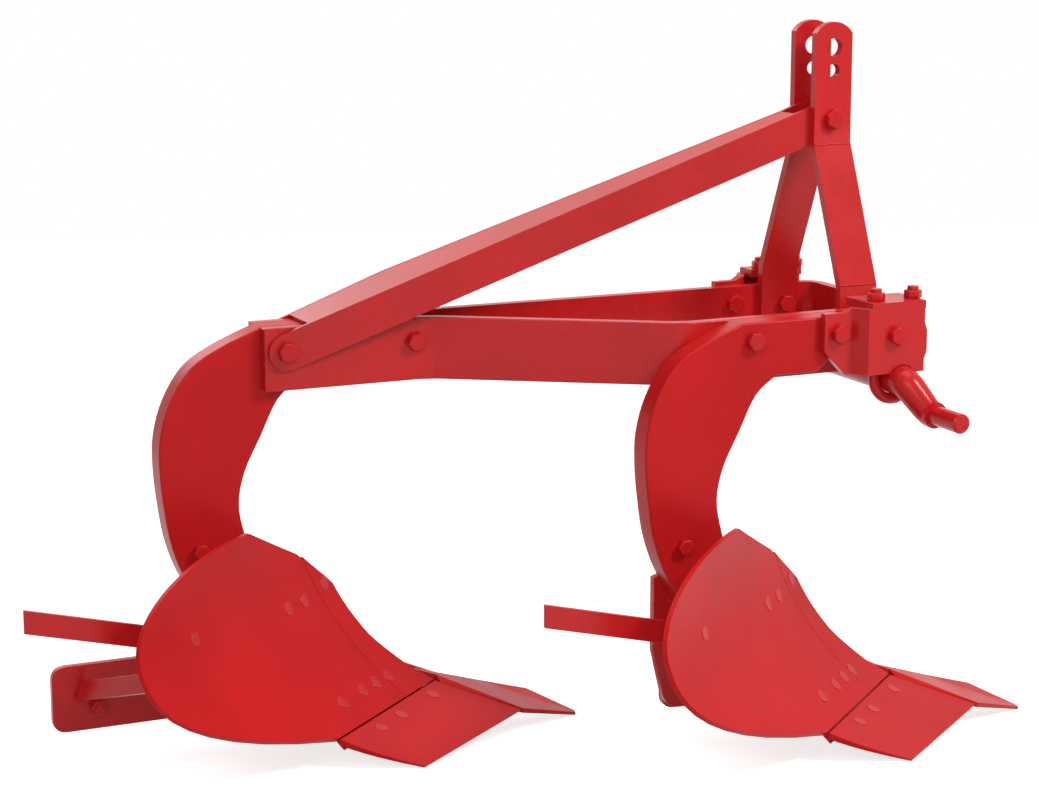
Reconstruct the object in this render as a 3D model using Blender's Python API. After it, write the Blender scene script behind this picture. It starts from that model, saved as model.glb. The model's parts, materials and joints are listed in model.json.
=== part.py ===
"""Two-furrow mounted moldboard plough, built as an assembly of separate plates, bars and castings.

Axes: +X is the direction of travel, +Y is the land (left) side, +Z is up. Lengths are in metres.
The pieces are modelled with the beams level and X, Y = 0 near the rear leg. The finished assembly is then
leaned to the right until it stands on both toes and both share wings, as it parks, and its box is centred on
the origin.
"""

import math

import bmesh
import bpy
from mathutils import Matrix, Vector

# ---------------------------------------------------------------- driving dimensions
GAP = 0.0003                    # assembly gap between touching pieces
BODY_STEP = Vector((0.610, -0.250, 0.0))   # rear body to front body: pitch and furrow width

LEG_THICK = 0.038
BEAM_THICK = 0.016
BEAM_LOW, BEAM_TOP = 0.514, 0.602
BEAM_REAR_X = 0.260
BEAM_BEND_REAR_X, BEAM_BEND_FRONT_X = 0.502, 0.800
CROSS_FRONT_X = 1.164           # front face of the cross bar
CROSS_CORNER_R = 0.034          # outside radius of the bend from beam to cross bar
CROSS_NEAR_Y = -0.262

LEG_HOLE_X, LEG_HOLE_Z = 0.291, 0.568      # bolt through leg, beams and stay
SPACER_X, SPACER_R = 0.481, 0.017

MAST_X, MAST_Y = 1.088, -0.080
MAST_WIDTH, MAST_THICK, MAST_GAP = 0.060, 0.012, 0.046
MAST_TOP_Z, MAST_CROWN_R = 1.000, 0.036
MAST_FOLD_LOW, MAST_FOLD_HIGH = 0.632, 0.828
MAST_FOOT_Z = 0.536
MAST_HOLES = ((0.964, 0.01285), (0.931, 0.00965))   # height, radius
MAST_BOLT_Z = 0.863

STAY_WALL, STAY_HALF_DEPTH = 0.005, 0.026
STAY_WEB_REAR, STAY_WEB_FRONT = 0.042, 0.048        # web cut back from each bolt
STAY_PARALLEL_X = 0.470

SHAFT_X, SHAFT_Z, SHAFT_R = 1.107, 0.510, 0.022
SHAFT_NEAR_Y, SHAFT_FAR_Y = -0.285, 0.119
CRANK_OFFSET = Vector((0.025, 0.0, -0.043))
CRANK_LENGTH, PIN_R, PIN_LENGTH = 0.040, 0.014, 0.076
U_ROD_R, U_SPACING, U_TOP_Z = 0.008, 0.0605, 0.639
U_INSET = 0.026                 # from the outer face of a bracket to its U-bolt

BRACKET_THICK = 0.012
BRACKET_REAR_X, BRACKET_JOGGLE_X, BRACKET_FRONT_X = 0.994, 1.040, 1.142
BRACKET_LOW, BRACKET_FLANGE_LOW, BRACKET_FLANGE_TOP = 0.521, 0.610, 0.622
BRACKET_JOGGLE = 0.024

# moldboard surface: straight lines at FURROW_TURN to the beam, climbing a curved profile
FURROW_TURN = math.radians(41.0)
PROFILE_TOP_Z, PROFILE_SPAN = 0.367, 0.298
PROFILE_MIN, PROFILE_REACH, PROFILE_POWER = 0.2075, 0.1295, 2.6
SEAM_Z, EDGE_Z, EDGE_P = 0.069, 0.027, 0.452
BOARD_THICK, SHARE_THICK = 0.007, 0.009
BOARD_PEAK_Q, BOARD_PEAK_Z = 0.070, 0.341
BOARD_TAIL_Q, BOARD_TAIL_Z = -0.205, 0.232
BOARD_SEAM_Q = 0.099
SHIN_NOTCH_Q, SHIN_NOTCH_Z, SHIN_SLOPE = 0.225, 0.278, 0.35
SHIN_EDGE = ((0.387, 0.069), (0.361, 0.092), (0.322, 0.143), (0.304, 0.185), (0.288, 0.228), (0.225, 0.278))
SHARE_SEAM_Q, SHARE_EDGE_Q = (0.099, 0.385), (0.145, 0.4325)
SHARE_REACH = (0.91, 1.018)     # how far down the share plane each end of the cutting edge lies

TOE_NEAR, TOE_FAR = (0.735, -0.009, -0.013, -0.0085), (0.738, 0.001, -0.013, -0.0085)   # x, y, underside, top

FROG_THICK = 0.012
LANDSIDE_THICK, LANDSIDE_LOW, LANDSIDE_TOP, LANDSIDE_CORNER = 0.012, 0.047, 0.141, 0.018
MIN_REACH = 0.10                # how far to the right of the toes the other contacts are looked for
LANDSIDE_REAR_X = {"rear": -0.033, "front": 0.168}

LEG_BACK = ((0.262, 0.602), (0.205, 0.579), (0.160, 0.552), (0.130, 0.508), (0.115, 0.460), (0.113, 0.415),
            (0.118, 0.360), (0.128, 0.305), (0.149, 0.252), (0.185, 0.200), (0.235, 0.140))
LEG_FRONT = ((0.320, 0.140), (0.285, 0.188), (0.252, 0.250), (0.233, 0.312), (0.225, 0.357), (0.234, 0.402),
             (0.258, 0.450), (0.284, 0.500), (0.316, 0.525))
LEG_ARM_END = ((0.380, 0.525), (0.430, 0.566), (0.430, 0.602))

RED = (0.45, 0.02, 0.022)


# ---------------------------------------------------------------- small helpers
def material(name, colour, metallic=0.0, roughness=0.35):
    """Plain enamel for one piece."""
    mat = bpy.data.materials.new(name)
    mat.use_nodes = True
    shader = mat.node_tree.nodes["Principled BSDF"]
    shader.inputs["Base Color"].default_value = (*colour, 1.0)
    shader.inputs["Metallic"].default_value = metallic
    shader.inputs["Roughness"].default_value = roughness
    mat.diffuse_color = (*colour, 1.0)
    return mat


def solid(name, verts, faces, colour=RED):
    """Make one closed mesh object, its normals facing out."""
    mesh = bpy.data.meshes.new(name)
    bm = bmesh.new()
    points = [bm.verts.new(v) for v in verts]
    for face in faces:
        bm.faces.new([points[i] for i in face])
    bmesh.ops.recalc_face_normals(bm, faces=bm.faces[:])
    bm.to_mesh(mesh)
    bm.free()
    obj = bpy.data.objects.new(name, mesh)
    bpy.context.scene.collection.objects.link(obj)
    obj.data.materials.append(material(name, colour))
    return obj


def loft(name, rings, colour=RED):
    """Skin a list of equal rings and cap both ends."""
    count = len(rings[0])
    verts = [p for ring in rings for p in ring]
    faces = [tuple(range(count)), tuple(range(len(verts) - count, len(verts)))]
    for r in range(len(rings) - 1):
        for i in range(count):
            j = (i + 1) % count
            a, b = r * count, (r + 1) * count
            faces.append((a + i, a + j, b + j, b + i))
    return solid(name, verts, faces, colour)


def prism_y(name, outline, y_low, y_high, colour=RED):
    """Extrude an (x, z) outline along Y."""
    return loft(name, [[(x, y, z) for x, z in outline] for y in (y_low, y_high)], colour)


def box(name, low, high):
    """Square block between two corners."""
    return prism_y(name, [(low[0], low[2]), (high[0], low[2]), (high[0], high[2]), (low[0], high[2])],
                   low[1], high[1])


def arc(centre, radius, start, end, steps):
    """Points on an arc, angles in degrees."""
    angles = [math.radians(start + (end - start) * i / steps) for i in range(steps + 1)]
    return [(centre[0] + radius * math.cos(a), centre[1] + radius * math.sin(a)) for a in angles]


def spline(points, steps=4):
    """Catmull-Rom curve through the points, its ends included."""
    ends = [points[0]] + list(points) + [points[-1]]
    curve = []
    for p0, p1, p2, p3 in zip(ends, ends[1:], ends[2:], ends[3:]):
        for i in range(steps):
            t = i / steps
            curve.append(tuple(0.5 * (2 * b + (c - a) * t + (2 * a - 5 * b + 4 * c - d) * t ** 2
                                      + (3 * b - a - 3 * c + d) * t ** 3)
                               for a, b, c, d in zip(p0, p1, p2, p3)))
    return curve + [tuple(points[-1])]


def ribbon(path, thickness):
    """Mitred left and right edges of a bar that follows a flat path."""
    sides = []
    for i, p in enumerate(path):
        here = Vector(p)
        before = (here - Vector(path[i - 1])).normalized() if i else None
        after = (Vector(path[i + 1]) - here).normalized() if i < len(path) - 1 else None
        before, after = before or after, after or before
        mean = (before + after).normalized()
        reach = 0.5 * thickness / max(mean.dot(before), 0.5)
        normal = Vector((-mean.y, mean.x)) * reach
        sides.append((here + normal, here - normal))
    return sides


def flat_bar(name, path, thickness, lows, highs, colour=RED):
    """A bar on edge that follows an (x, y) path, with its low and high edge at each point."""
    rings = [[(l.x, l.y, lo), (r.x, r.y, lo), (r.x, r.y, hi), (l.x, l.y, hi)]
             for (l, r), lo, hi in zip(ribbon(path, thickness), lows, highs)]
    return loft(name, rings, colour)


def tube(name, path, radii, sides=20, colour=RED):
    """A round bar along a 3-D path, its rings kept square to the path."""
    rings, side = [], None
    for i, p in enumerate(path):
        ahead = Vector(path[min(i + 1, len(path) - 1)]) - Vector(path[max(i - 1, 0)])
        ahead.normalize()
        side = (side or ahead.orthogonal())
        side = (side - ahead * side.dot(ahead)).normalized()
        up = ahead.cross(side)
        rings.append([Vector(p) + (side * math.cos(2 * math.pi * k / sides)
                                   + up * math.sin(2 * math.pi * k / sides)) * radii[i] for k in range(sides)])
    return loft(name, rings, colour)


def rod_y(name, x, z, radius, y_low, y_high, sides=32):
    """Round bar along Y."""
    return prism_y(name, arc((x, z), radius, 0, 360 * (sides - 1) / sides, sides - 1), y_low, y_high)


def combine(target, tool, operation):
    """Apply a Boolean and drop the tool."""
    mod = target.modifiers.new(operation.lower(), "BOOLEAN")
    mod.operation, mod.solver, mod.object = operation, "EXACT", tool
    bpy.context.view_layer.update()
    graph = bpy.context.evaluated_depsgraph_get()
    mesh = bpy.data.meshes.new_from_object(target.evaluated_get(graph))
    target.modifiers.clear()
    old, target.data = target.data, mesh
    mesh.name = target.name
    mats = [m for m in mesh.materials if m]
    mesh.materials.clear()
    mesh.materials.append(mats[0])
    for poly in mesh.polygons:
        poly.material_index = 0
    bpy.data.meshes.remove(old)
    bpy.data.objects.remove(tool, do_unlink=True)
    return target


def moved(obj, offset):
    """Shift the mesh itself, so that the origin stays where it is."""
    obj.data.transform(Matrix.Translation(offset))
    return obj


# ---------------------------------------------------------------- beams, mast, stay
NEAR_REAR_Y = -GAP - BEAM_THICK / 2                          # centre lines of the near (right) beam
NEAR_FRONT_Y = BODY_STEP.y + LEG_THICK + GAP + BEAM_THICK / 2
FAR_Y = LEG_THICK + GAP + BEAM_THICK / 2                     # centre line of the far (left) beam
CROSS_REAR_X = CROSS_FRONT_X - BEAM_THICK


def beam_near():
    """Straight along the rear leg, set over to the right by two bends, and straight to the cross bar."""
    path = [(BEAM_REAR_X, NEAR_REAR_Y), (BEAM_BEND_REAR_X - 0.014, NEAR_REAR_Y),
            (BEAM_BEND_REAR_X + 0.012, NEAR_REAR_Y - 0.008), (BEAM_BEND_FRONT_X - 0.012, NEAR_FRONT_Y + 0.008),
            (BEAM_BEND_FRONT_X + 0.014, NEAR_FRONT_Y), (CROSS_REAR_X - GAP, NEAR_FRONT_Y)]
    return flat_bar("beam_right", path, BEAM_THICK, [BEAM_LOW] * 6, [BEAM_TOP] * 6)


def beam_far():
    """The far beam turns through a right angle into the cross bar, whose near end is rounded."""
    radius = CROSS_CORNER_R - BEAM_THICK / 2
    cross_x = CROSS_FRONT_X - BEAM_THICK / 2
    bend = arc((cross_x - radius, FAR_Y - radius), radius, 90, 0, 8)
    half = (BEAM_TOP - BEAM_LOW) / 2
    tail = [(half * (1 - math.sin(math.radians(a))), half * (1 - math.cos(math.radians(a))))
            for a in (0, 22, 40, 56, 70)]
    path = [(BEAM_REAR_X + 0.001, FAR_Y)] + bend + [(cross_x, CROSS_NEAR_Y + step) for step, _ in tail]
    straight = len(path) - len(tail)
    lows = [BEAM_LOW] * straight + [BEAM_LOW + cut for _, cut in tail]
    highs = [BEAM_TOP] * straight + [BEAM_TOP - cut for _, cut in tail]
    return flat_bar("beam_left", path, BEAM_THICK, lows, highs)


def leg(name):
    """Curved plate that hangs from the beams and carries one plough body."""
    outline = spline(LEG_BACK) + spline(LEG_FRONT) + list(LEG_ARM_END)
    return prism_y(name, outline, 0.0, LEG_THICK)


def mast_bar(name, side):
    """One mast bar: foot inside its beam, a splayed middle and a straight crown. side is -1 near, +1 far."""
    top_y = MAST_Y + side * (MAST_GAP + MAST_THICK) / 2
    if side < 0:
        foot_y = NEAR_FRONT_Y + BEAM_THICK / 2 + GAP + MAST_THICK / 2
    else:
        foot_y = FAR_Y - BEAM_THICK / 2 - GAP - MAST_THICK / 2
    crown = [MAST_TOP_Z - MAST_CROWN_R * (1 - math.cos(math.radians(a))) for a in (56, 45, 34, 22, 11, 4)]
    path = [(foot_y, MAST_FOOT_Z), (foot_y, MAST_FOLD_LOW), (top_y, MAST_FOLD_HIGH)] + [(top_y, z) for z in crown]
    widths = [MAST_WIDTH / 2] * 3 + [min(MAST_WIDTH / 2, MAST_CROWN_R * math.sin(math.radians(a)))
                                     for a in (56, 45, 34, 22, 11, 4)]
    rings = [[(MAST_X - w, l.x, l.y), (MAST_X + w, l.x, l.y), (MAST_X + w, r.x, r.y), (MAST_X - w, r.x, r.y)]
             for (l, r), w in zip(ribbon(path, MAST_THICK), widths)]
    bar = loft(name, rings)
    for height, radius in MAST_HOLES:
        combine(bar, rod_y("hole", MAST_X, height, radius, top_y - 0.05, top_y + 0.05), "DIFFERENCE")
    return bar


def stay():
    """Channel from the rear leg bolt up to the mast, open below, its walls drawn in to fit the mast."""
    start, end = Vector((LEG_HOLE_X, LEG_HOLE_Z)), Vector((MAST_X, MAST_BOLT_Z))
    along = (end - start).normalized()
    across = Vector((-along.y, along.x))
    length = (end - start).length
    kink = (STAY_PARALLEL_X - LEG_HOLE_X) / along.x
    front = length - STAY_WEB_FRONT
    rear_half = LEG_THICK / 2 + BEAM_THICK + 2 * GAP + STAY_WALL
    front_half = MAST_GAP / 2 - GAP
    rear_y = LEG_THICK / 2

    def wall_y(s, side):
        """Outer face of one wall at distance s from the rear bolt; both ends run straight."""
        begin = kink if side > 0 else 0.0
        t = min(max((s - begin) / (front - begin), 0.0), 1.0)
        return (rear_y + side * rear_half) * (1 - t) + (MAST_Y + side * front_half) * t

    def station(s, half, y_out, y_in):
        """Section of one wall, square to the stay."""
        low, high = start + along * s - across * half, start + along * s + across * half
        return [(low.x, y_out, low.y), (low.x, y_in, low.y), (high.x, y_in, high.y), (high.x, y_out, high.y)]

    round_end = [(math.cos(math.radians(a)), math.sin(math.radians(a))) for a in (8, 25, 45, 65, 90)]
    stations = [(-STAY_HALF_DEPTH * c, STAY_HALF_DEPTH * s) for c, s in round_end]
    stations += [(kink, STAY_HALF_DEPTH), (front, STAY_HALF_DEPTH)]
    stations += [(length + STAY_HALF_DEPTH * c, STAY_HALF_DEPTH * s) for c, s in reversed(round_end)]
    channel = None
    for side in (-1, 1):
        wall = loft("wall", [station(s, half, wall_y(s, side), wall_y(s, side) - side * STAY_WALL)
                             for s, half in stations])
        channel = wall if channel is None else channel
        if side > 0:
            far_wall = wall
    rings = []
    for s in (STAY_WEB_REAR, kink, front):
        outer = start + along * s + across * STAY_HALF_DEPTH
        inner = outer - across * STAY_WALL
        near, far = wall_y(s, -1) + 0.001, wall_y(s, 1) - 0.001
        rings.append([(inner.x, near, inner.y), (inner.x, far, inner.y),
                      (outer.x, far, outer.y - 0.0002), (outer.x, near, outer.y - 0.0002)])
    web = loft("web", rings)
    combine(channel, web, "UNION")
    combine(channel, far_wall, "UNION")
    channel.name = channel.data.name = "stay"
    return channel


# ---------------------------------------------------------------- hitch
def bracket(name, side):
    """Joggled side plate with a top flange for the U-bolt, outside its beam. side is -1 near, +1 far."""
    if side < 0:
        face = BODY_STEP.y - GAP                       # near flap lies on the front leg
        inner = BODY_STEP.y + LEG_THICK - 0.003
    else:
        face = LEG_THICK + 2 * GAP + BEAM_THICK        # far flap lies on the far beam
        inner = face + 0.001
    flap = face + side * BRACKET_THICK / 2
    outer = flap + side * BRACKET_JOGGLE
    path = [(BRACKET_REAR_X, flap), (BRACKET_REAR_X + 0.033, flap), (BRACKET_JOGGLE_X, flap),
            (BRACKET_JOGGLE_X + 0.014, outer), (BRACKET_FRONT_X, outer)]
    lows = [BRACKET_LOW + 0.034] + [BRACKET_LOW] * 4
    highs = [BRACKET_FLANGE_LOW - 0.002] * 2 + [BRACKET_FLANGE_LOW + 0.004] * 3
    plate = flat_bar(name, path, BRACKET_THICK, lows, highs)
    edge = outer + side * BRACKET_THICK / 2
    flange = box("flange", (BRACKET_JOGGLE_X + 0.016, min(edge, inner), BRACKET_FLANGE_LOW),
                 (BRACKET_FRONT_X + 0.001, max(edge, inner), BRACKET_FLANGE_TOP))
    combine(plate, flange, "UNION")
    for end in (-1, 1):
        x = SHAFT_X + end * U_SPACING / 2
        y = u_bolt_y(side)
        combine(plate, tube("hole", [(x, y, 0.58), (x, y, 0.66)], [U_ROD_R + 0.0005] * 2, 24), "DIFFERENCE")
    return plate


def u_bolt_y(side):
    """The rod runs between the beam and the joggled part of its bracket."""
    if side < 0:
        return BODY_STEP.y - GAP - BRACKET_THICK - BRACKET_JOGGLE + U_INSET
    return LEG_THICK + 2 * GAP + BEAM_THICK + BRACKET_JOGGLE / 2


def u_bolt(name, side):
    """Round rod bent under the shaft, both ends standing through the flange."""
    y, half = u_bolt_y(side), U_SPACING / 2
    bottom = [(x, y, z) for x, z in arc((SHAFT_X, SHAFT_Z), half, 180, 360, 16)]
    path = [(SHAFT_X - half, y, U_TOP_Z)] + bottom + [(SHAFT_X + half, y, U_TOP_Z)]
    return tube(name, path, [U_ROD_R] * len(path), 14)


def cross_shaft():
    """Round shaft under the beams, both ends cranked down and forward to a pin."""
    def end(y, side):
        """Path and radii from the straight shaft out to one pin."""
        steps = [(0.0, 0.0), (0.14, 0.03), (0.36, 0.20), (0.62, 0.62), (0.82, 0.90), (1.0, 1.0)]
        turn = [(Vector((SHAFT_X, y + side * CRANK_LENGTH * a, SHAFT_Z)) + CRANK_OFFSET * b) for a, b in steps]
        radii = [SHAFT_R, SHAFT_R, SHAFT_R * 0.98, SHAFT_R * 0.93, SHAFT_R * 0.88, SHAFT_R * 0.86]
        last = turn[-1]
        turn += [last + Vector((0, side * d, 0)) for d in (0.010, 0.0101, PIN_LENGTH - 0.003, PIN_LENGTH)]
        radii += [SHAFT_R * 0.86, PIN_R, PIN_R, PIN_R - 0.003]
        return turn, radii
    near, near_r = end(SHAFT_NEAR_Y, -1)
    far, far_r = end(SHAFT_FAR_Y, 1)
    return tube("cross_shaft", near[::-1] + far, near_r[::-1] + far_r, 28)


# ---------------------------------------------------------------- plough bodies
def profile(z):
    """Distance p of the furrow surface ahead of the axis, at height z."""
    if z < SEAM_Z:
        return EDGE_P + (profile(SEAM_Z) - EDGE_P) * (z - EDGE_Z) / (SEAM_Z - EDGE_Z)
    drop = max(0.0, PROFILE_TOP_Z - z) / PROFILE_SPAN
    return PROFILE_MIN + PROFILE_REACH * drop ** PROFILE_POWER


def surface(q, z, depth=0.0):
    """Point on the furrow surface, q along its straight lines, sunk by depth along its normal."""
    step = 0.0005
    slope = (profile(z + step) - profile(z)) / step
    scale = depth / math.hypot(1.0, slope)
    p, z = profile(z) - scale, z + slope * scale
    c, s = math.cos(FURROW_TURN), math.sin(FURROW_TURN)
    return Vector((q * c + p * s, q * s - p * c, z))


def land_q(z, y, depth=0.0):
    """The q at which the sunk surface crosses the vertical plane at y."""
    return (y - surface(0.0, z, depth).y) / math.sin(FURROW_TURN)


def board_left(z):
    """Rear edge of the moldboard: a quarter ellipse above its tail, a fuller curve below."""
    if z > BOARD_TAIL_Z:
        rise = (z - BOARD_TAIL_Z) / (BOARD_PEAK_Z - BOARD_TAIL_Z)
        return BOARD_PEAK_Q - (BOARD_PEAK_Q - BOARD_TAIL_Q) * math.sqrt(max(0.0, 1 - rise * rise))
    fall = (BOARD_TAIL_Z - z) / (BOARD_TAIL_Z - SEAM_Z)
    return BOARD_SEAM_Q - (BOARD_SEAM_Q - BOARD_TAIL_Q) * (1 - fall ** 2.6)


def shin_line(z):
    """Line where the shin meets the moldboard, and the moldboard's own front edge above the shin."""
    if z > SHIN_NOTCH_Z:
        t = (z - SHIN_NOTCH_Z) / (BOARD_PEAK_Z - SHIN_NOTCH_Z)
        return SHIN_NOTCH_Q + (BOARD_PEAK_Q + 0.022 - SHIN_NOTCH_Q) * t
    return SHIN_NOTCH_Q + (SHIN_NOTCH_Z - z) * SHIN_SLOPE


def shin_edge(z):
    """Front edge of the shin."""
    for (q0, z0), (q1, z1) in zip(SHIN_EDGE, SHIN_EDGE[1:]):
        if z <= z1:
            return q0 + (q1 - q0) * (z - z0) / (z1 - z0)
    return SHIN_EDGE[-1][0]


def curved_plate(name, heights, left, right, columns, thickness):
    """Plate of even thickness behind the furrow surface, between two edge functions of height."""
    rings = []
    for z in heights:
        qs = [left(z) + (right(z) - left(z)) * i / columns for i in range(columns + 1)]
        rings.append([surface(q, z) for q in qs] + [surface(q, z, thickness) for q in reversed(qs)])
    return loft(name, rings)


def moldboard(name):
    """The curved plate that turns the soil."""
    rows = 26
    heights = [SEAM_Z + GAP * 2 + (BOARD_PEAK_Z - 0.0005 - SEAM_Z) * math.sin(math.pi / 2 * i / rows)
               for i in range(rows + 1)]
    return curved_plate(name, heights, board_left, lambda z: shin_line(z) - GAP, 14, BOARD_THICK)


def shin(name):
    """The replaceable strip in front of the moldboard."""
    heights = [SEAM_Z + GAP * 2 + (SHIN_NOTCH_Z - 0.002 - SEAM_Z) * i / 16 for i in range(17)]
    return curved_plate(name, heights, lambda z: shin_line(z) + GAP, shin_edge, 4, BOARD_THICK)


def share(name):
    """Straight tapered plate from the seam down to the cutting edge."""
    rings = []
    for t in (0.0, 0.12, 0.3, 0.5, 0.75, 1.0):
        depth = SHARE_THICK * (1 - t) + 0.0025 * t
        left_z, right_z = (SEAM_Z - GAP * 2 + (EDGE_Z - SEAM_Z + GAP * 2) * t * reach for reach in SHARE_REACH)
        left = SHARE_SEAM_Q[0] + (SHARE_EDGE_Q[0] - SHARE_SEAM_Q[0]) * t ** 1.5
        right = SHARE_SEAM_Q[1] + (SHARE_EDGE_Q[1] - SHARE_SEAM_Q[1]) * t
        rings.append([surface(left, left_z), surface(right, right_z), surface(right, right_z, depth),
                      surface(left, left_z, depth)])
    return loft(name, rings)


def point(name):
    """Forged point on the land side of the share: a wall that rises from the share and runs out to the toe."""
    land = LEG_THICK - 2 * GAP
    # x, y, underside z, top z, round the plan from the rear of the land side
    plan = ((0.470, land, 0.050, 0.082), (0.470, 0.0070, 0.060, 0.092), (0.5175, 0.0070, 0.050, 0.074),
            (0.5200, -0.0045, 0.050, 0.066), (0.6265, -0.0590, 0.020, 0.0275), TOE_NEAR, TOE_FAR,
            (0.676, land, 0.004, 0.0235), (0.600, land, 0.028, 0.046))
    return loft(name, [[(x, y, low) for x, y, low, _ in plan], [(x, y, top) for x, y, _, top in plan]])


def frog(name):
    """Angle casting: one flange on the leg, the other behind the moldboard."""
    near = -2 * GAP
    rings = []
    for i in range(9):
        z = 0.100 + 0.165 * i / 8
        front, back = BOARD_THICK + 2 * GAP, BOARD_THICK + 2 * GAP + FROG_THICK
        q_land, q_fold = land_q(z, near, front), land_q(z, near - FROG_THICK, back)
        q_wing = q_land - 0.120
        corner = surface(q_land, z, front)
        tail = corner.x - 0.110
        fold = surface(q_fold, z, back)
        rings.append([corner, surface(q_wing, z, front), surface(q_wing, z, back), fold,
                      Vector((tail, near - FROG_THICK, fold.z)), Vector((tail, near, corner.z))])
    return loft(name, rings)


def frog_plate(name):
    """Flat plate on the land side of the leg that carries the landside and the point."""
    land = LEG_THICK + GAP
    heights = (0.255, 0.22, 0.175, 0.13, 0.10)
    front = [(profile(z) / math.sin(FURROW_TURN) - 0.012, z) for z in heights]
    outline = [(0.147, 0.245), (0.235, 0.272), (0.290, 0.268)] + front
    outline += [(0.560, 0.052), (0.560, 0.040), (0.480, 0.050)]
    outline += [(0.210, 0.050)] + arc((0.192, 0.080), 0.030, 250, 190, 4) + [(0.147, 0.140)]
    return prism_y(name, outline, land, land + FROG_THICK)


def landside(name, end):
    """Long flat bar that runs along the furrow wall; its heel corners are round."""
    y_low = LEG_THICK + 2 * GAP + FROG_THICK
    x = LANDSIDE_REAR_X[end]
    r = LANDSIDE_CORNER
    heel = arc((x + r, LANDSIDE_TOP - r), r, 90, 180, 5) + arc((x + r, LANDSIDE_LOW + r), r, 180, 270, 5)
    outline = heel + [(0.500, LANDSIDE_LOW), (0.555, 0.038), (0.555, 0.052), (0.470, 0.080), (0.400, 0.116),
                      (0.340, LANDSIDE_TOP)]
    return prism_y(name, outline, y_low, y_low + LANDSIDE_THICK)


def landside_brace(name):
    """Flat bar from the heel of the landside to the back of the moldboard."""
    start = Vector((0.004, LEG_THICK + FROG_THICK - 0.003, 0.105))
    stop = surface(-0.060, 0.195, BOARD_THICK + 0.016)
    width = Vector((0.010, 0.0, 0.0275)).normalized() * 0.0145
    depth = (stop - start).cross(width).normalized() * 0.003
    rings = [[c + width + depth, c + width - depth, c - width - depth, c - width + depth] for c in (start, stop)]
    return loft(name, rings)


def tail_bar(name):
    """Flat bar bolted behind the moldboard's wing and reaching back over the turned furrow."""
    inside = BOARD_THICK + 0.0085
    wing, root = (surface(q, 0.238, inside) for q in (-0.085, -0.030))
    path = [(-0.125, -0.182), (wing.x - 0.012, wing.y + 0.010), (root.x, root.y)]
    centres = (0.282, 0.241, 0.236)
    return flat_bar(name, path, 0.006, [c - 0.0165 for c in centres], [c + 0.0145 for c in centres])


def plough_body(end):
    """All the pieces of one body; the front one stands a step ahead and to the right."""
    pieces = [moldboard(end + "_moldboard"), shin(end + "_shin"), share(end + "_share"), point(end + "_point"),
              frog(end + "_frog"), frog_plate(end + "_frog_plate"), landside(end + "_landside", end),
              tail_bar(end + "_tail_bar"), leg(end + "_leg")]
    if end == "rear":
        pieces.append(landside_brace("landside_brace"))
    if end == "front":
        for piece in pieces:
            moved(piece, BODY_STEP)
    return pieces


# ---------------------------------------------------------------- assembly
def notch_for_shaft(pieces):
    """Cut the saddle for the cross shaft."""
    for piece in pieces:
        combine(piece, rod_y("saddle", SHAFT_X, SHAFT_Z, SHAFT_R + 0.0005, -0.5, 0.3, 48), "DIFFERENCE")


def park(pieces):
    """Lean the plough until both toes and both share wings touch the floor, then centre its box on the origin."""
    along = BODY_STEP.normalized()
    across = along.cross(Vector((0.0, 0.0, 1.0)))
    reaches = [v.co - Vector(TOE_NEAR[:3]) for piece in pieces for v in piece.data.vertices]
    angle = min(math.atan2(reach.z, reach.dot(across)) for reach in reaches if reach.dot(across) > MIN_REACH)
    lean = Matrix.Rotation(angle, 4, along)
    for piece in pieces:
        piece.data.transform(lean)
    corners = [v.co for piece in pieces for v in piece.data.vertices]
    low = Vector([min(c[i] for c in corners) for i in range(3)])
    high = Vector([max(c[i] for c in corners) for i in range(3)])
    offset = Vector((-(low.x + high.x) / 2, -(low.y + high.y) / 2, -low.z))
    for piece in pieces:
        moved(piece, offset)
    print("assembly offset", tuple(round(v, 6) for v in offset), "size", tuple(round(v, 4) for v in high - low),
          "lean axis", tuple(round(v, 6) for v in along), "angle", round(math.degrees(lean.to_quaternion().angle), 4))
    print("lean", [tuple(round(v, 8) for v in row) for row in lean.to_3x3()])


def main():
    """Build the whole plough."""
    for obj in list(bpy.data.objects):
        bpy.data.objects.remove(obj, do_unlink=True)
    bpy.context.scene.unit_settings.system = "METRIC"
    bpy.context.scene.unit_settings.scale_length = 1.0

    near, far = beam_near(), beam_far()
    right_bracket, left_bracket = bracket("bracket_right", -1), bracket("bracket_left", 1)
    notch_for_shaft([near, far, right_bracket, left_bracket])
    pieces = [near, far, right_bracket, left_bracket, mast_bar("mast_right", -1), mast_bar("mast_left", 1), stay(),
              cross_shaft(), u_bolt("u_bolt_right", -1), u_bolt("u_bolt_left", 1),
              rod_y("beam_spacer", SPACER_X, LEG_HOLE_Z, SPACER_R, 0.0, LEG_THICK)]
    pieces += plough_body("rear") + plough_body("front")
    park(pieces)


main()
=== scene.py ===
"""Looks of a two-furrow mounted moldboard plough in gloss red enamel, parked on its shares.

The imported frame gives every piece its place. This script softens the edges of the plates, bars and
forgings, adds the bolts, nuts and weld beads, and paints everything.

The parked plough leans to its right. Small pieces are placed in the plough's own level axes, in which the
beams are level and the mast is upright, and are then leaned over with the rest.
"""

from __future__ import annotations

import json
import logging
import math
import random
from dataclasses import dataclass, field
from enum import Enum
from typing import Callable

import bpy
from mathutils import Matrix, Vector
from mathutils.bvhtree import BVHTree

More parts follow.
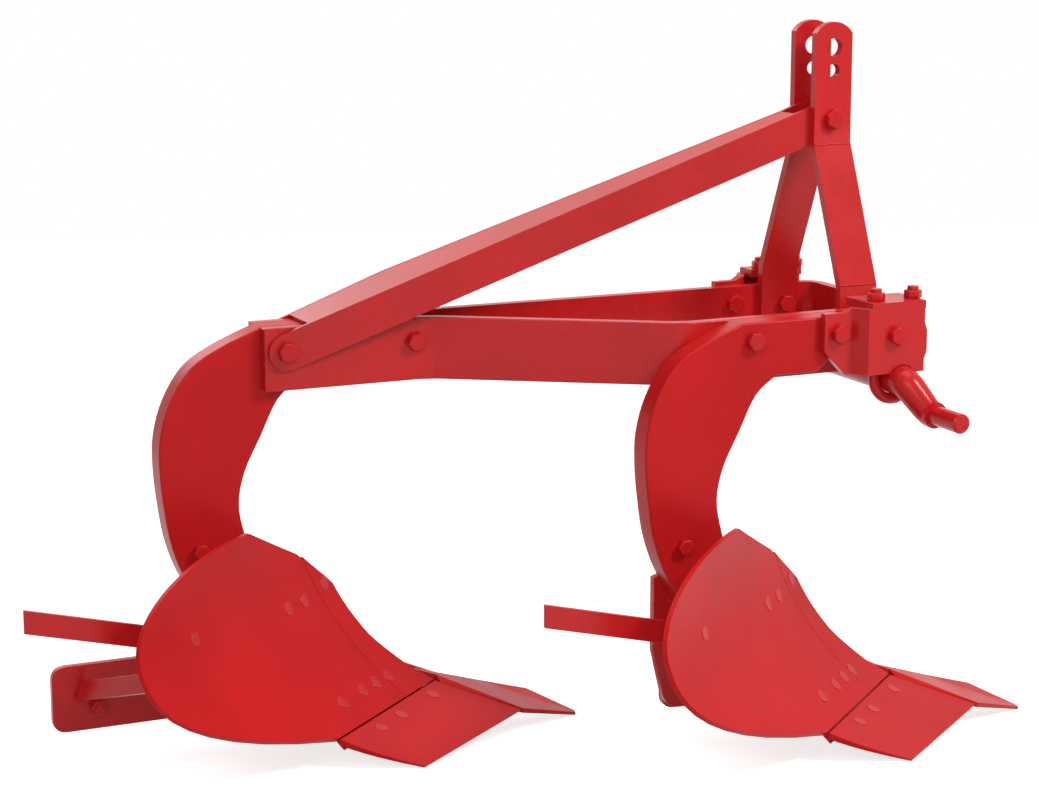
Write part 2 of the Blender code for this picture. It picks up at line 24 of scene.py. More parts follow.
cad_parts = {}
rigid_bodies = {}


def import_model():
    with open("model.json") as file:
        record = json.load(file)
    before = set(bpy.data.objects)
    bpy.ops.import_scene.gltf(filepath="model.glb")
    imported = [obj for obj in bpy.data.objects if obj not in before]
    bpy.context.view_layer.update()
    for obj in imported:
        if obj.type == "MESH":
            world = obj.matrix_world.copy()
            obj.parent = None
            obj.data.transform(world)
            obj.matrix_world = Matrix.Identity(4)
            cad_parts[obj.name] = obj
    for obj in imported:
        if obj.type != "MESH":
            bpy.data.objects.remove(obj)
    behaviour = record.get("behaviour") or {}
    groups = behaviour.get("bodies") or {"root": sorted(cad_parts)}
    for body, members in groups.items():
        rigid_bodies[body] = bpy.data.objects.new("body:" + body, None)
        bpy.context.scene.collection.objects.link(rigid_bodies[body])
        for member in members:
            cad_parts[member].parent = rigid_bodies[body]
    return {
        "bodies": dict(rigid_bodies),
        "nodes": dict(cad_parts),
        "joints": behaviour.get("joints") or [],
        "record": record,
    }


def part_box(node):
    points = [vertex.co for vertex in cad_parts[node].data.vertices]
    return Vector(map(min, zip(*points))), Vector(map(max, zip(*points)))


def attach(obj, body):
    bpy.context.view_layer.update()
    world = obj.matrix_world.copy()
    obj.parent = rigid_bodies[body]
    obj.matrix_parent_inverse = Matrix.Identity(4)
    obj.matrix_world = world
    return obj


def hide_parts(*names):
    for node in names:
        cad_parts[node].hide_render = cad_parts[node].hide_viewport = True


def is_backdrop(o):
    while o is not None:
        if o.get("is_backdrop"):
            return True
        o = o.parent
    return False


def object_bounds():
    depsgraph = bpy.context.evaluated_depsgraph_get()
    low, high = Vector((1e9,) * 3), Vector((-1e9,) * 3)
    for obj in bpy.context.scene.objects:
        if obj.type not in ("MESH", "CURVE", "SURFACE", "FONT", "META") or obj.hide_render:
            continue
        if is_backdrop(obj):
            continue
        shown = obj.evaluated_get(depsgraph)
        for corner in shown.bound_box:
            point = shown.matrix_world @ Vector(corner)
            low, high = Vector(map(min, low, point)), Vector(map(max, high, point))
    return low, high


LOG = logging.getLogger("plough")
BODY = "root"
TO_NEAR = Vector((0.0, -1.0, 0.0))
TO_FAR = Vector((0.0, 1.0, 0.0))
UP = Vector((0.0, 0.0, 1.0))
ENDS = ("rear", "front")
FURROW_TURN = math.radians(41.0)     # from the direction of travel to the boards' straight lines
LEG_CORNER = Vector((0.113, 0.0, 0.140))     # lowest corner of a leg's box, from its body's own zero
STAND_OFF = 0.9     # how far ahead of the boards a ray starts
EDGE_HEIGHT = 0.027     # nominal height of the cutting edges, from which the bolt marks are measured


# ---------------------------------------------------------------- finishes
class Surface(Enum):
    """How the metal under the enamel was made, which sets the grain of the paint."""

    ROLLED = "rolled"
    BOARD = "board"
    FORGED = "forged"
    TURNED = "turned"
    WELD = "weld"


@dataclass(frozen=True)
class Enamel:
    """Gloss enamel sprayed over one kind of metal.

    Args:
        name: Material name.
        colour: Linear colour of a full coat.
        shade: Linear colour where the coat is thin.
        gloss: Roughness of the coat.
        haze: How much that roughness varies.
        peel: Height of the orange peel, in metres.
        relief: Height of the metal's own relief, in metres.
        relief_scale: Size factor of that relief.
        stretch: How the relief is drawn out along each axis, as by rolling.
        sheen: Specular level, lower where dust dulls the coat.
    """

    name: str
    colour: tuple[float, float, float] = (0.490, 0.0110, 0.0125)
    shade: tuple[float, float, float] = (0.425, 0.0095, 0.0105)
    gloss: float = 0.27
    haze: float = 0.05
    peel: float = 0.00010
    relief: float = 0.00015
    relief_scale: float = 60.0
    stretch: tuple[float, float, float] = (1.0, 1.0, 1.0)
    sheen: float = 0.17

    def noise(self, tree: bpy.types.NodeTree, vector: bpy.types.NodeSocket, scale: float,
              detail: float) -> bpy.types.NodeSocket:
        """Add a noise texture.

        Args:
            tree: Node tree to add to.
            vector: Where it reads its place.
            scale: Size factor.
            detail: Octaves.

        Returns:
            Its factor.
        """
        node = tree.nodes.new("ShaderNodeTexNoise")
        node.inputs["Scale"].default_value = scale
        node.inputs["Detail"].default_value = detail
        tree.links.new(vector, node.inputs["Vector"])
        return node.outputs["Fac"]

    def remap(self, tree: bpy.types.NodeTree, value: bpy.types.NodeSocket, low: float,
              high: float) -> bpy.types.NodeSocket:
        """Spread the middle of a noise over a range of values."""
        node = tree.nodes.new("ShaderNodeMapRange")
        node.inputs["From Min"].default_value, node.inputs["From Max"].default_value = 0.3, 0.7
        node.inputs["To Min"].default_value, node.inputs["To Max"].default_value = low, high
        tree.links.new(value, node.inputs["Value"])
        return node.outputs["Result"]

    def bump(self, tree: bpy.types.NodeTree, height: bpy.types.NodeSocket, distance: float,
             under: bpy.types.NodeSocket | None) -> bpy.types.NodeSocket:
        """Turn a height into a normal on top of another one."""
        node = tree.nodes.new("ShaderNodeBump")
        node.inputs["Strength"].default_value = 0.6
        node.inputs["Distance"].default_value = distance
        tree.links.new(height, node.inputs["Height"])
        if under:
            tree.links.new(under, node.inputs["Normal"])
        return node.outputs["Normal"]

    def build(self) -> bpy.types.Material:
        """Return the node material."""
        mat = bpy.data.materials.new(self.name)
        mat.use_nodes = True
        tree = mat.node_tree
        shader = tree.nodes["Principled BSDF"]
        place = tree.nodes.new("ShaderNodeTexCoord").outputs["Object"]
        grain = tree.nodes.new("ShaderNodeMapping")
        grain.inputs["Scale"].default_value = self.stretch
        tree.links.new(place, grain.inputs["Vector"])

        coat = tree.nodes.new("ShaderNodeValToRGB")
        coat.color_ramp.elements[0].position, coat.color_ramp.elements[0].color = 0.34, (*self.shade, 1.0)
        coat.color_ramp.elements[1].position, coat.color_ramp.elements[1].color = 0.60, (*self.colour, 1.0)
        tree.links.new(self.noise(tree, place, 6.0, 5.0), coat.inputs["Fac"])
        tree.links.new(coat.outputs["Color"], shader.inputs["Base Color"])

        haze = self.noise(tree, place, 24.0, 4.0)
        tree.links.new(self.remap(tree, haze, self.gloss - self.haze / 2, self.gloss + self.haze),
                       shader.inputs["Roughness"])
        ground = self.noise(tree, grain.outputs["Vector"], self.relief_scale, 6.0)
        metal = self.bump(tree, ground, self.relief, None)
        skin = self.bump(tree, self.noise(tree, place, 240.0, 2.0), self.peel, metal)
        tree.links.new(skin, shader.inputs["Normal"])
        shader.inputs["Specular IOR Level"].default_value = self.sheen
        return mat


ENAMELS = {
    Surface.ROLLED: Enamel("enamel_on_rolled_bar", relief=0.00022, relief_scale=40.0,
                           stretch=(0.35, 1.0, 1.0), sheen=0.24),
    Surface.BOARD: Enamel("enamel_on_moldboard", relief=0.0003, relief_scale=9.0, gloss=0.32,
                           sheen=0.055),
    Surface.FORGED: Enamel("enamel_on_forging", relief=0.0005, relief_scale=32.0, gloss=0.31, sheen=0.10),
    Surface.TURNED: Enamel("enamel_on_round_bar", relief=0.00010, relief_scale=90.0, gloss=0.22),
    Surface.WELD: Enamel("enamel_on_weld_bead", relief=0.0012, relief_scale=160.0, gloss=0.30),
}


@dataclass
class Paint:
    """Hands out one built material for each kind of surface.

    Args:
        built: Materials built so far.
    """

    built: dict[Surface, bpy.types.Material] = field(default_factory=dict)

    def of(self, surface: Surface) -> bpy.types.Material:
        """Return the material for a surface, built on first use."""
        if surface not in self.built:
            self.built[surface] = ENAMELS[surface].build()
        return self.built[surface]


# ---------------------------------------------------------------- modelling helpers
def clear_selection() -> None:
    """Deselect every object."""
    if bpy.context.object and bpy.context.object.mode != "OBJECT":
        bpy.ops.object.mode_set(mode="OBJECT")
    bpy.ops.object.select_all(action="DESELECT")


def activate(obj: bpy.types.Object) -> None:
    """Select one object alone and make it active."""
    clear_selection()
    obj.select_set(True)
    bpy.context.view_layer.objects.active = obj


def select_faces(obj: bpy.types.Object, test: Callable[[bpy.types.MeshPolygon], bool]) -> None:
    """Select the faces that pass a test, from object mode.

    Args:
        obj: Mesh object.
        test: Says whether a face is wanted.
    """
    for vert in obj.data.vertices:
        vert.select = False
    for edge in obj.data.edges:
        edge.select = False
    for face in obj.data.polygons:
        face.select = test(face)


def modify(obj: bpy.types.Object, kind: str, **settings: object) -> None:
    """Add a modifier with settings and apply it.

    Args:
        obj: Mesh object.
        kind: Modifier type.
        **settings: Modifier properties.
    """
    activate(obj)
    mod = obj.modifiers.new(kind.lower(), kind)
    for key, value in settings.items():
        setattr(mod, key, value)
    bpy.ops.object.modifier_apply(modifier=mod.name)


def joined(parts: list[bpy.types.Object]) -> bpy.types.Object:
    """Join objects into the first one and return it."""
    activate(parts[0])
    for part in parts[1:]:
        part.select_set(True)
    if len(parts) > 1:
        bpy.ops.object.join()
    return bpy.context.object


def finish_piece(obj: bpy.types.Object, name: str, mat: bpy.types.Material,
                 smooth: float = 30.0) -> bpy.types.Object:
    """Name a piece, paint it and let it ride on the plough.

    Args:
        obj: The piece, its place in its mesh.
        name: Piece name.
        mat: Paint.
        smooth: Edges flatter than this shade smoothly, in degrees.

    Returns:
        The piece.
    """
    activate(obj)
    bpy.ops.object.shade_smooth_by_angle(angle=math.radians(smooth))
    obj.name = obj.data.name = name
    obj.data.materials.clear()
    obj.data.materials.append(mat)
    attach(obj, BODY)
    LOG.info("piece %s: %d faces", name, len(obj.data.polygons))
    return obj


# ---------------------------------------------------------------- the parked lean
@dataclass
class Stance:
    """The lean of the parked plough, read from the frame.

    Args:
        frame: The loaded frame.
    """

    frame: dict
    lean: Matrix = field(init=False)
    level: Matrix = field(init=False)

    def __post_init__(self) -> None:
        """Work out the lean from the body step and the slope of a mount's axis."""
        along = (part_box("front_leg")[0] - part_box("rear_leg")[0]).normalized()
        mounts = {mount["name"]: mount for mount in self.frame["record"]["mounts"]}
        slope = mounts["top_link_left"]["axis"][2]
        self.lean = Matrix.Rotation(math.asin(slope / along.x), 4, along)
        self.level = self.lean.inverted()

    def points(self, node: str) -> list[Vector]:
        """Return the vertices of a node in level axes."""
        return [self.level @ vert.co for vert in self.frame["nodes"][node].data.vertices]

    def box(self, node: str) -> tuple[Vector, Vector]:
        """Return the lowest and highest corners of a node in level axes."""
        points = self.points(node)
        return (Vector([min(p[i] for p in points) for i in range(3)]),
                Vector([max(p[i] for p in points) for i in range(3)]))

    def hit(self, node: str, start: Vector, heading: Vector) -> tuple[Vector, Vector]:
        """Find where a ray first meets a node, in level axes.

        Args:
            node: Node to meet.
            start: Where the ray starts.
            heading: Where it goes.

        Returns:
            The point and the outward normal there.
        """
        faces = [tuple(face.vertices) for face in self.frame["nodes"][node].data.polygons]
        point, normal, _, _ = BVHTree.FromPolygons(self.points(node), faces).ray_cast(start, heading)
        if point is None:
            raise ValueError(f"no {node} from {tuple(start)}")
        return point, normal

    def body_zeros(self) -> dict[str, Vector]:
        """Return the zero point of each plough body in level axes."""
        rear, front = (self.box(end + "_leg")[0] for end in ENDS)
        return {"rear": rear - LEG_CORNER, "front": rear - LEG_CORNER + (front - rear)}

    @staticmethod
    def furrow_axes() -> tuple[Vector, Vector]:
        """Return the direction of the boards' straight lines, and the level one that meets them square."""
        c, s = math.cos(FURROW_TURN), math.sin(FURROW_TURN)
        return Vector((c, s, 0.0)), Vector((-s, c, 0.0))

    def settle(self, obj: bpy.types.Object) -> None:
        """Lean a mesh that was made in level axes."""
        obj.data.transform(self.lean)
        obj.data.update()


# ---------------------------------------------------------------- plates, bars and forgings
@dataclass(frozen=True)
class Softened:
    """A node of the frame with its corners rounded as by a mill or a die.

    Args:
        node: The frame node it stands for.
        surface: How the metal was made.
        radius: Corner radius.
        sharp: Edges flatter than this angle stay as they are, in degrees.
        smooth: Edges flatter than this shade smoothly, in degrees.
    """

    node: str
    surface: Surface
    radius: float = 0.0016
    sharp: float = 35.0
    smooth: float = 30.0

    def build(self, frame: dict, paint: Paint) -> bpy.types.Object:
        """Return the softened piece, which stands for its node.

        Args:
            frame: The loaded frame.
            paint: Paint shop.
        """
        obj = bpy.data.objects.new(self.node + "_painted", frame["nodes"][self.node].data.copy())
        bpy.context.scene.collection.objects.link(obj)
        activate(obj)
        bpy.ops.object.mode_set(mode="EDIT")
        bpy.ops.mesh.select_all(action="SELECT")
        bpy.ops.mesh.remove_doubles(threshold=0.00002)
        bpy.ops.mesh.dissolve_limited(angle_limit=math.radians(1.0))
        bpy.ops.object.mode_set(mode="OBJECT")
        modify(obj, "BEVEL", width=self.radius, segments=3, limit_method="ANGLE",
               angle_limit=math.radians(self.sharp), use_clamp_overlap=True)
        finish_piece(obj, self.node + "_painted", paint.of(self.surface), self.smooth)
        modify(obj, "WEIGHTED_NORMAL", keep_sharp=True, weight=60)
        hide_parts(self.node)
        return obj


def softened_nodes() -> list[Softened]:
    """List the finish of every node."""
    bars = ("beam_left", "beam_right", "mast_left", "mast_right", "bracket_left", "bracket_right")
    thin = ["stay", "landside_brace"]
    thin += [end + piece for end in ENDS for piece in ("_tail_bar", "_frog_plate")]
    listed = [Softened(node, Surface.ROLLED, 0.0018) for node in bars]
    listed += [Softened(node, Surface.ROLLED, 0.0009) for node in thin]
    listed += [Softened("cross_shaft", Surface.TURNED, 0.0009),
               Softened("u_bolt_left", Surface.TURNED, 0.0012, 60.0),
               Softened("u_bolt_right", Surface.TURNED, 0.0012, 60.0),
               Softened("beam_spacer", Surface.TURNED, 0.0006, 60.0)]
    for end in ENDS:
        listed += [Softened(end + "_landside", Surface.ROLLED, 0.0016),
                   Softened(end + "_leg", Surface.FORGED, 0.0030),
                   Softened(end + "_frog", Surface.FORGED, 0.0018),
                   Softened(end + "_point", Surface.FORGED, 0.0009),
                   Softened(end + "_share", Surface.BOARD, 0.0005, 50.0),
                   Softened(end + "_shin", Surface.BOARD, 0.0005, 50.0),
                   Softened(end + "_moldboard", Surface.BOARD, 0.0007, 50.0)]
    return listed


# ---------------------------------------------------------------- fasteners
@dataclass(frozen=True)
class Fastener:
    """One bolt head or nut, modelled along +Z.

    Args:
        flats: Width across flats.
        height: Height of the head or nut.
        washer: Washer radius, or 0 for none.
        stud: Radius of a threaded end that stands out of the nut, or 0 for a bolt head.
        proud: How far that end stands out.
    """

    flats: float = 0.0235
    height: float = 0.0105
    washer: float = 0.0
    stud: float = 0.0
    proud: float = 0.004

    def hexagon(self, low: float) -> bpy.types.Object:
        """Return the six-sided body with its crown chamfered."""
        radius = self.flats / math.sqrt(3.0)
        clear_selection()
        bpy.ops.mesh.primitive_cylinder_add(vertices=6, radius=radius, depth=self.height,
                                            location=(0.0, 0.0, low + self.height / 2))
        obj = bpy.context.object
        bpy.ops.object.transform_apply(location=True, rotation=True, scale=True)
        select_faces(obj, lambda face: face.normal.z > 0.9)
        bpy.ops.object.mode_set(mode="EDIT")
        bpy.ops.mesh.inset(thickness=radius * 0.12, depth=self.height * 0.09)
        bpy.ops.object.mode_set(mode="OBJECT")
        modify(obj, "BEVEL", width=self.flats * 0.04, segments=3, limit_method="ANGLE",
               angle_limit=math.radians(12.0))
        return obj

    def disc(self, radius: float, low: float, high: float, soft: float) -> bpy.types.Object:
        """Return a round disc or stud with a softened rim."""
        clear_selection()
        bpy.ops.mesh.primitive_cylinder_add(vertices=32, radius=radius, depth=high - low,
                                            location=(0.0, 0.0, (low + high) / 2))
        obj = bpy.context.object
        bpy.ops.object.transform_apply(location=True, rotation=True, scale=True)
        modify(obj, "BEVEL", width=soft, segments=3, limit_method="ANGLE", angle_limit=math.radians(40.0))
        return obj

    def build(self) -> bpy.types.Object:
        """Return the fastener, sitting on the origin."""
        low = 0.0
        parts = []
        if self.washer:
            parts.append(self.disc(self.washer, -0.0002, 0.0026, 0.0006))
            low = 0.0025
        parts.insert(0, self.hexagon(low))
        if self.stud:
            parts.append(self.disc(self.stud, low, low + self.height * 1.09 + self.proud, 0.0016))
        return joined(parts)


@dataclass(frozen=True)
class PloughBolt:
    """The shallow oval mark of a countersunk plough bolt, painted over.

    Args:
        radius: Half its width.
        crown: How far its middle stands proud.
    """

    radius: float = 0.0100
    crown: float = 0.0011

    def build(self) -> bpy.types.Object:
        """Return the mark, lying on the origin."""
        clear_selection()
        bpy.ops.mesh.primitive_cylinder_add(vertices=32, radius=self.radius, depth=0.002,
                                            location=(0.0, 0.0, -0.001 + self.crown * 0.35))
        obj = bpy.context.object
        bpy.ops.object.transform_apply(location=True, rotation=True, scale=True)
        select_faces(obj, lambda face: face.normal.z > 0.9)
        bpy.ops.object.mode_set(mode="EDIT")
        bpy.ops.mesh.inset(thickness=self.radius * 0.16, depth=self.crown * 0.65)
        bpy.ops.mesh.inset(thickness=self.radius * 0.14, depth=-self.crown * 0.30)
        bpy.ops.mesh.inset(thickness=self.radius * 0.25, depth=self.crown * 0.15)
        bpy.ops.object.mode_set(mode="OBJECT")
        modify(obj, "BEVEL", width=self.radius * 0.05, segments=2, limit_method="ANGLE",
               angle_limit=math.radians(20.0))
        return obj


def placed(model: bpy.types.Object, at: Vector, axis: Vector, turn: float = 0.0) -> bpy.types.Object:
    """Copy a model to a place in level axes.

    Args:
        model: Mesh object modelled along +Z on the origin.
        at: Where its origin goes.
        axis: Where its +Z goes.
        turn: Turn about the axis, in radians.

    Returns:
        The copy, with its own mesh.
    """
    copy = bpy.data.objects.new(model.name + "_copy", model.data.copy())
    bpy.context.scene.collection.objects.link(copy)
    facing = axis.to_track_quat("Z", "Y").to_matrix().to_4x4()
    copy.data.transform(Matrix.Translation(at) @ facing @ Matrix.Rotation(turn, 4, "Z"))
    return copy


def discard(*models: bpy.types.Object) -> None:
    """Delete models that were only there to be copied."""
    for model in models:
        bpy.data.objects.remove(model, do_unlink=True)


@dataclass
class Hardware:
    """Every bolt and nut of the plough, placed in level axes.

    Args:
        stance: The parked lean.
        paint: Paint shop.
        turns: Gives each head its own turn.
    """

    stance: Stance
    paint: Paint
    turns: random.Random = field(default_factory=lambda: random.Random(7))

    def finish(self, obj: bpy.types.Object, name: str) -> None:
        """Lean a piece over and finish it."""
        self.stance.settle(obj)
        finish_piece(obj, name, self.paint.of(Surface.TURNED))

    def side_heads(self) -> None:
        """Add the bolt heads on the right side and the nuts on the left of beams, mast, legs and brackets."""
        rear = self.stance.box("rear_leg")[0]
        step = self.stance.box("front_leg")[0] - rear
        mast_low, mast_high = self.stance.box("mast_right")
        mast_x = (mast_low.x + mast_high.x) / 2
        beam_top = self.stance.box("beam_right")[1].z
        upper, lower = beam_top - 0.0335, rear.z + 0.157
        # name, near node, far node, x, z, across flats
        rows = (
            ("stay_bolt", "stay", "stay", rear.x + 0.178, upper, 0.0255),
            ("spacer_bolt", "beam_right", "beam_left", rear.x + 0.368, upper, 0.0240),
            ("front_leg_bolt", "front_leg", "beam_right", rear.x + step.x + 0.166, beam_top - 0.0255, 0.0240),
            ("flap_bolt", "bracket_right", "beam_right", rear.x + 0.904, beam_top - 0.0230, 0.0235),
            ("bracket_bolt", "bracket_right", "mast_right", mast_x + 0.007, beam_top - 0.0270, 0.0235),
            ("far_flap_bolt", "beam_left", "bracket_left", rear.x + 0.904, beam_top - 0.0250, 0.0235),
            ("mast_foot_bolt", "mast_left", "bracket_left", mast_x + 0.010, beam_top - 0.0280, 0.0235),
            ("mast_bolt", "mast_right", "mast_left", mast_x, mast_high.z - 0.1370, 0.0255),
            ("rear_leg_low_bolt", "rear_leg", "rear_leg", rear.x + 0.055, lower, 0.0200),
            ("front_leg_low_bolt", "front_leg", "front_leg", rear.x + step.x + 0.060, lower, 0.0200),
        )
        for name, near, far, x, z, flats in rows:
            head, nut = Fastener(flats).build(), Fastener(flats, 0.0120, 0.0, flats * 0.33).build()
            for suffix, node, heading, model in (("head", near, TO_FAR, head), ("nut", far, TO_NEAR, nut)):
                point, _ = self.stance.hit(node, Vector((x, 0.0, z)) - heading * 2.0, heading)
                piece = placed(model, point, -heading, self.turns.uniform(0.0, 1.0))
                self.finish(piece, f"{name}_{suffix}")
            discard(head, nut)

    def u_bolt_nuts(self) -> None:
        """Add the nuts on top of both U-bolts."""
        nut = Fastener(0.0225, 0.0105).build()
        for side in ("right", "left"):
            low, high = self.stance.box("u_bolt_" + side)
            deck = self.stance.box("bracket_" + side)[1].z
            rod = (high.y - low.y) / 2
            for end, x in (("rear", low.x + rod), ("front", high.x - rod)):
                piece = placed(nut, Vector((x, (low.y + high.y) / 2, deck)), UP, self.turns.uniform(0.0, 1.0))
                self.finish(piece, f"u_nut_{side}_{end}")
        discard(nut)

    def plough_bolts(self) -> None:
        """Add the marks of the countersunk bolts on boards and shares, and the nut on each landside."""
        mark = PloughBolt().build()
        heel_nut = Fastener(0.0200, 0.0110, 0.0, 0.0065).build()
        # along each board's straight lines from its body's zero, and height above the cutting edge
        board = ((0.163, 0.070), (0.222, 0.070), (0.261, 0.070), (0.297, 0.070), (0.159, 0.194),
                 (0.204, 0.194), (0.266, 0.203), (-0.073, 0.213))
        share = ((0.183, 0.035), (0.244, 0.035), (0.343, 0.035))
        along, into = self.stance.furrow_axes()
        for end, zero in self.stance.body_zeros().items():
            marks = []
            for piece, spots in (("_moldboard", board), ("_share", share)):
                for q, z in spots:
                    start = zero + along * q - into * STAND_OFF + UP * (z + EDGE_HEIGHT)
                    node = end + ("_shin" if piece == "_moldboard" and q > 0.25 else piece)
                    try:
                        point, normal = self.stance.hit(node, start, into)
                    except ValueError:
                        point, normal = self.stance.hit(end + piece, start, into)
                    marks.append(placed(mark, point, normal))
            self.finish(joined(marks), end + "_plough_bolts")
            low, _ = self.stance.box(end + "_landside")
            start = Vector((low.x + 0.063, -3.0, low.z + 0.041))
            point, _ = self.stance.hit(end + "_landside", start, TO_FAR)
            self.finish(placed(heel_nut, point, TO_NEAR, 0.4), end + "_heel_nut")
        discard(mark, heel_nut)

    def build(self) -> None:
        """Add all the hardware."""
        self.side_heads()
        self.u_bolt_nuts()
        self.plough_bolts()


# ---------------------------------------------------------------- welds
@dataclass
class Welds:
    """Weld beads, each a rippled bead along a straight line in level axes.

    Args:
        stance: The parked lean.
        paint: Paint shop.
        chance: Varies the ripples.
    """

    stance: Stance
    paint: Paint
    chance: random.Random = field(default_factory=lambda: random.Random(11))

    def bead(self, name: str, start: Vector, stop: Vector, radius: float) -> bpy.types.Object:
        """Lay one bead.

        Args:
            name: Piece name.
            start: One end.
            stop: Other end.
            radius: Half its width.

        Returns:
            The bead.
        """
        length = (stop - start).length
        steps = max(6, int(length / 0.0022))
        clear_selection()
        bpy.ops.mesh.primitive_cylinder_add(vertices=10, radius=radius, depth=length / steps,
                                            end_fill_type="NGON", location=(0.0, 0.0, length / steps / 2))
        obj = bpy.context.object
        bpy.ops.object.transform_apply(location=True, rotation=True, scale=True)
        select_faces(obj, lambda face: face.normal.z > 0.9)
        bpy.ops.object.mode_set(mode="EDIT")
        for number in range(steps - 1):
            bpy.ops.mesh.extrude_region_move(TRANSFORM_OT_translate={"value": (0.0, 0.0, length / steps)})
            swell = 1.16 if number % 2 else 0.86
            swell *= self.chance.uniform(0.92, 1.08)
            bpy.ops.transform.resize(value=(swell, swell, 1.0))
        bpy.ops.object.mode_set(mode="OBJECT")
        modify(obj, "SUBSURF", levels=1, render_levels=1)
        facing = (stop - start).to_track_quat("Z", "Y").to_matrix().to_4x4()
        obj.data.transform(Matrix.Translation(start) @ facing)
        self.stance.settle(obj)
        return finish_piece(obj, name, self.paint.of(Surface.WELD), 60.0)

    def across_bar(self, name: str, node: str, drop: float, heading: Vector, radius: float) -> None:
        """Lay a bead across one mast bar.

        Args:
            name: Piece name.
            node: The mast bar.
            drop: How far below the mast's top it lies.
            heading: Where one looks to see the bar's face.
            radius: Half its width.
        """
        low, high = self.stance.box(node)
        start = Vector(((low.x + high.x) / 2, 0.0, high.z - drop)) - heading * 2.0
        face, _ = self.stance.hit(node, start, heading)
        first = Vector((low.x + 0.001, face.y, face.z))
        last = Vector((high.x - 0.001, face.y, face.z))
        self.bead(name, first, last, radius)

    def build(self) -> None:
        """Lay all the beads, at the knee of both mast bars and at the foot of the right one."""
        for side, heading in (("right", TO_FAR), ("left", TO_NEAR)):
            self.across_bar(f"mast_knee_weld_{side}", "mast_" + side, 0.1735, heading, 0.0018)
        self.across_bar("mast_foot_weld", "mast_right", 0.3660, TO_FAR, 0.0016)


# ---------------------------------------------------------------- seats behind the seams
@dataclass
class SeamSeat:
    """A plain seat behind the seam of moldboard and share, which closes the gap between them.

    Args:
        stance: The parked lean.
        paint: Paint shop.
        width: Width of the seat, up and down the boards.
        thick: Its thickness.
        depth: How far its face lies behind the face of the boards.
        reach: Where it starts and stops along the seam.
        probe: Where along the seam the moldboard's foot is measured.
        probe_height: Height at which it is measured.
        drop: How far the seat's middle lies below that place.
    """

    stance: Stance
    paint: Paint
    width: float = 0.034
    thick: float = 0.004
    depth: float = 0.0096
    reach: tuple[float, float] = (0.112, 0.372)
    probe: float = 0.2
    probe_height: float = 0.0725
    drop: float = 0.003

    def build(self) -> None:
        """Add one seat to each body."""
        along, into = self.stance.furrow_axes()
        start, stop = self.reach
        for end, zero in self.stance.body_zeros().items():
            ray = zero + along * self.probe - into * STAND_OFF + UP * self.probe_height
            point, normal = self.stance.hit(end + "_moldboard", ray, into)
            middle = point + along * ((start + stop) / 2 - self.probe) - UP * self.drop
            clear_selection()
            bpy.ops.mesh.primitive_cube_add(size=1.0)
            obj = bpy.context.object
            obj.scale = (stop - start, self.width, self.thick)
            bpy.ops.object.transform_apply(location=True, rotation=True, scale=True)
            modify(obj, "BEVEL", width=0.0008, segments=2)
            facing = Matrix((along, normal.cross(along).normalized(), normal)).transposed().to_4x4()
            place = middle - normal * (self.depth + self.thick / 2)
            obj.data.transform(Matrix.Translation(place) @ facing)
            self.stance.settle(obj)
            finish_piece(obj, end + "_seam_seat", self.paint.of(Surface.FORGED))


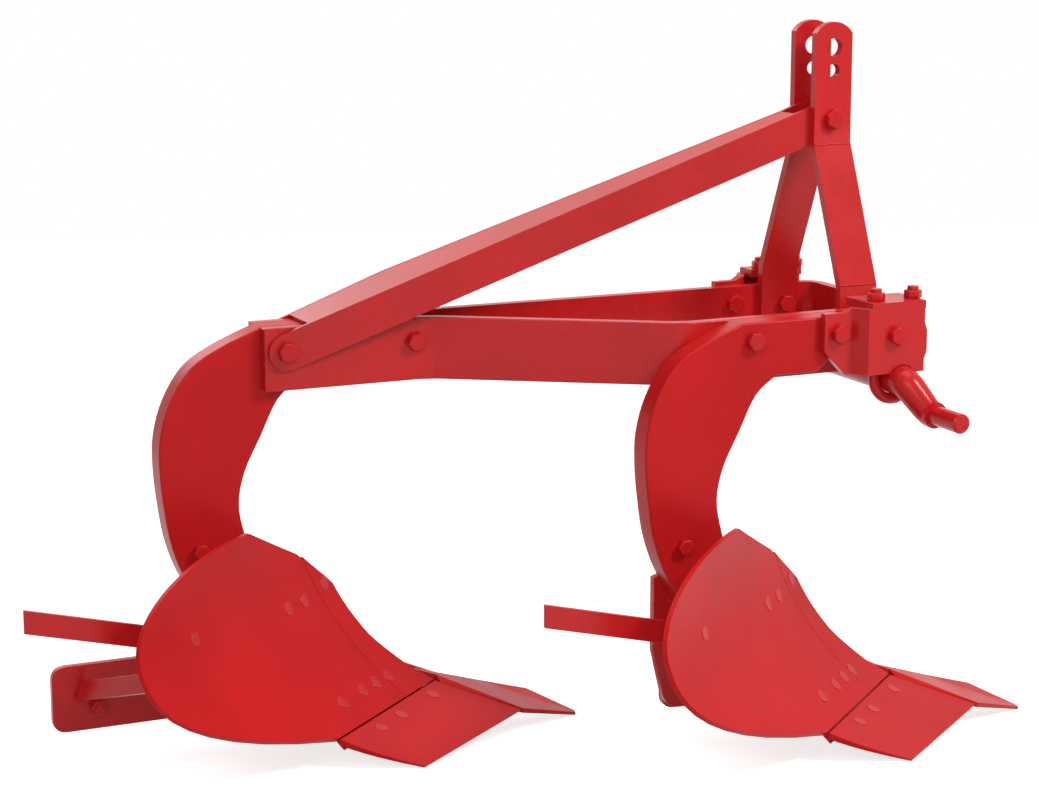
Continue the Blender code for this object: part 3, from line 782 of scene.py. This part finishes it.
# ---------------------------------------------------------------- studio
@dataclass(frozen=True)
class Studio:
    """Pale floor, soft light and the camera.

    Args:
        heading: Camera heading from +Y towards +X, in degrees.
        tilt: How far the camera looks down, in degrees.
        roll: How far it is turned about its view, in degrees.
        eye: Camera place from the middle of the box, on the floor.
        lens: Focal length for a 36 mm wide film.
    """

    heading: float = 24.551
    tilt: float = 4.459
    roll: float = -0.28
    eye: tuple[float, float, float] = (-1.5434, -3.2784, 0.7780)
    lens: float = 91.46

    def camera(self, foot: Vector) -> None:
        """Set up the camera from the middle of the plough's foot."""
        data = bpy.data.cameras.new("camera")
        data.lens, data.sensor_width = self.lens, 36.0
        cam = bpy.data.objects.new("camera", data)
        aim = (Matrix.Rotation(math.radians(-self.heading), 4, "Z")
               @ Matrix.Rotation(math.radians(90.0 - self.tilt), 4, "X")
               @ Matrix.Rotation(math.radians(self.roll), 4, "Z"))
        cam.matrix_world = Matrix.Translation(foot + Vector(self.eye)) @ aim
        bpy.context.scene.collection.objects.link(cam)
        bpy.context.scene.camera = cam

    def lamp(self, name: str, place: Vector, aim: Vector, size: float, power: float) -> None:
        """Add one soft box."""
        data = bpy.data.lights.new(name, "AREA")
        data.shape, data.size, data.energy = "SQUARE", size, power
        lamp = bpy.data.objects.new(name, data)
        lamp.location = place
        lamp.rotation_euler = (aim - place).to_track_quat("-Z", "Y").to_euler()
        bpy.context.scene.collection.objects.link(lamp)

    def white_rays(self, tree: bpy.types.NodeTree) -> bpy.types.NodeSocket:
        """Return a factor of 1 for camera, glossy and transmission rays, and 0 for others."""
        path = tree.nodes.new("ShaderNodeLightPath")
        total = path.outputs["Is Camera Ray"]
        for other in ("Is Glossy Ray", "Is Transmission Ray"):
            most = tree.nodes.new("ShaderNodeMath")
            most.operation = "MAXIMUM"
            tree.links.new(total, most.inputs[0])
            tree.links.new(path.outputs[other], most.inputs[1])
            total = most.outputs["Value"]
        return total

    def floor(self, foot: Vector) -> None:
        """Add the pale floor, which keeps the plough's shadow and runs out to white."""
        clear_selection()
        bpy.ops.mesh.primitive_plane_add(size=80.0, location=(0.0, 0.0, foot.z - 0.0004))
        obj = bpy.context.object
        obj.name = obj.data.name = "floor"
        mat = bpy.data.materials.new("pale_floor")
        mat.use_nodes = True
        tree = mat.node_tree
        shader = tree.nodes["Principled BSDF"]
        shader.inputs["Base Color"].default_value = (0.62, 0.62, 0.62, 1.0)
        shader.inputs["Roughness"].default_value = 0.9
        shader.inputs["Specular IOR Level"].default_value = 0.0
        shader.inputs["Emission Color"].default_value = (1.0, 1.0, 1.0, 1.0)
        away = tree.nodes.new("ShaderNodeVectorMath")
        away.operation = "LENGTH"
        tree.links.new(tree.nodes.new("ShaderNodeTexCoord").outputs["Object"], away.inputs[0])
        pale = tree.nodes.new("ShaderNodeMapRange")
        pale.inputs["From Min"].default_value, pale.inputs["From Max"].default_value = 1.2, 6.0
        pale.inputs["To Min"].default_value, pale.inputs["To Max"].default_value = 0.76, 1.0
        tree.links.new(away.outputs["Value"], pale.inputs["Value"])
        level = tree.nodes.new("ShaderNodeMath")
        level.operation = "MULTIPLY"
        tree.links.new(pale.outputs["Result"], level.inputs[1])
        tree.links.new(self.white_rays(tree), level.inputs[0])
        tree.links.new(level.outputs["Value"], shader.inputs["Emission Strength"])
        obj.data.materials.append(mat)
        obj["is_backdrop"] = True

    def world(self) -> None:
        """Light the scene from all round with a plain pale sky."""
        world = bpy.data.worlds.new("studio")
        world.use_nodes = True
        tree = world.node_tree
        glow = tree.nodes["Background"]
        glow.inputs["Color"].default_value = (1.0, 1.0, 1.0, 1.0)
        level = tree.nodes.new("ShaderNodeMapRange")
        level.inputs["To Min"].default_value, level.inputs["To Max"].default_value = 0.26, 1.0
        tree.links.new(self.white_rays(tree), level.inputs["Value"])
        tree.links.new(level.outputs["Result"], glow.inputs["Strength"])
        bpy.context.scene.world = world

    def build(self, low: Vector, high: Vector) -> None:
        """Set the whole studio round the plough.

        Args:
            low: Lowest corner of the plough.
            high: Highest corner of the plough.
        """
        middle = (low + high) / 2
        self.floor(low)
        self.world()
        self.lamp("key_box", middle + Vector((1.9, -2.5, 2.2)), middle, 0.9, 88.0)
        self.lamp("top_box", middle + Vector((0.2, -0.4, 3.1)), middle, 2.4, 56.0)
        self.lamp("side_box", middle + Vector((-2.2, -3.4, 1.4)), middle, 2.4, 62.0)
        self.lamp("back_box", middle + Vector((-1.0, 3.4, 2.6)), middle, 2.6, 60.0)
        self.camera(Vector((middle.x, middle.y, low.z)))
        bpy.context.scene.view_settings.view_transform = "Standard"


def main() -> None:
    """Dress the plough and set the studio."""
    logging.basicConfig(level=logging.INFO, format="%(message)s")
    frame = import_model()
    cad_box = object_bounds()
    paint = Paint()
    stance = Stance(frame)
    for piece in softened_nodes():
        piece.build(frame, paint)
    Hardware(stance, paint).build()
    Welds(stance, paint).build()
    SeamSeat(stance, paint).build()
    Studio().build(Vector(cad_box[0]), Vector(cad_box[1]))


if __name__ == "__main__":
    main()
